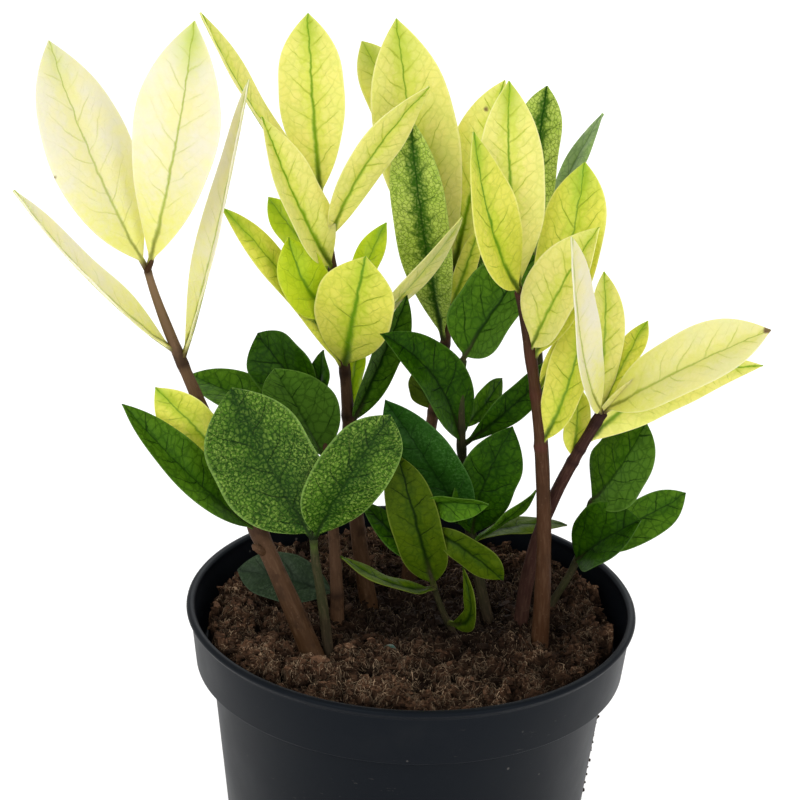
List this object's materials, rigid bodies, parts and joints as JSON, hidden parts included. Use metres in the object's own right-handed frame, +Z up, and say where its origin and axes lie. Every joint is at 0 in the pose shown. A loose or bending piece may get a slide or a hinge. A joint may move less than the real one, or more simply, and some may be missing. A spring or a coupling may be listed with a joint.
{
  "type": "potted chameleon zz plant",
  "caption": "Young variegated ZZ plant in a round black nursery pot: upright leafy stems with cream, lime, speckled and dark green leaves over brown potting soil.",
  "frame": {"origin": "centre of the pot's underside", "axes": "+Z up along the pot's axis; the side that the picture shows faces -Y, and +X is to the right seen from there"},
  "size_m": [0.1925, 0.12, 0.2643],
  "materials": {
    "pot": "satin black, with fine scuffs",
    "soil": "rough, moist, brown coco peat with pale fibres",
    "leaf_pale": "waxy gloss, cream to lime with green midribs",
    "leaf_green": "waxy gloss, dark green with a net of veins and pale speckles"
  },
  "bodies": {
    "root": {"pot": "pot", "soil": "soil", "stem_left_tall": "leaf_pale", "stem_front_left": "leaf_green", "stem_left_dark": "leaf_green", "stem_centre_left": "leaf_pale", "stem_centre": "leaf_pale", "stem_centre_dark": "leaf_green", "stem_low_olive": "leaf_green", "stem_right_tall": "leaf_pale", "stem_right_back": "leaf_green", "stem_right": "leaf_pale", "stem_right_low": "leaf_green"}
  },
  "joints": []
}
